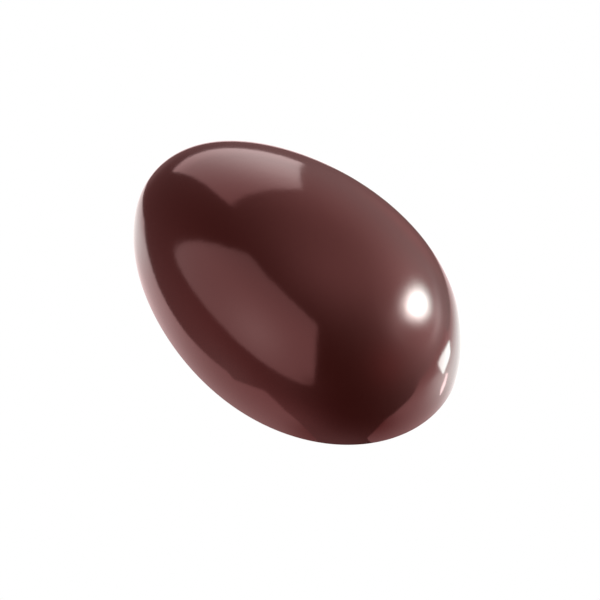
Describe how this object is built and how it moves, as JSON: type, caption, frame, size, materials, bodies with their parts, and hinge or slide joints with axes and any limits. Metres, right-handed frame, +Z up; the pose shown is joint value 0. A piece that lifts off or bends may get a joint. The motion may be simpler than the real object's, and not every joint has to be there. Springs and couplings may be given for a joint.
{
  "type": "chocolate half egg",
  "caption": "Glossy dark chocolate egg half, moulded solid with a smooth dome and a flat base to rest on.",
  "frame": {"origin": "middle of the flat base", "axes": "+X along the egg towards its blunt end, +Z up from the base to the top of the dome"},
  "size_m": [0.06, 0.0386, 0.0193],
  "materials": {
    "chocolate": "smooth, high gloss"
  },
  "bodies": {
    "root": {"half_egg": "chocolate"}
  },
  "joints": []
}
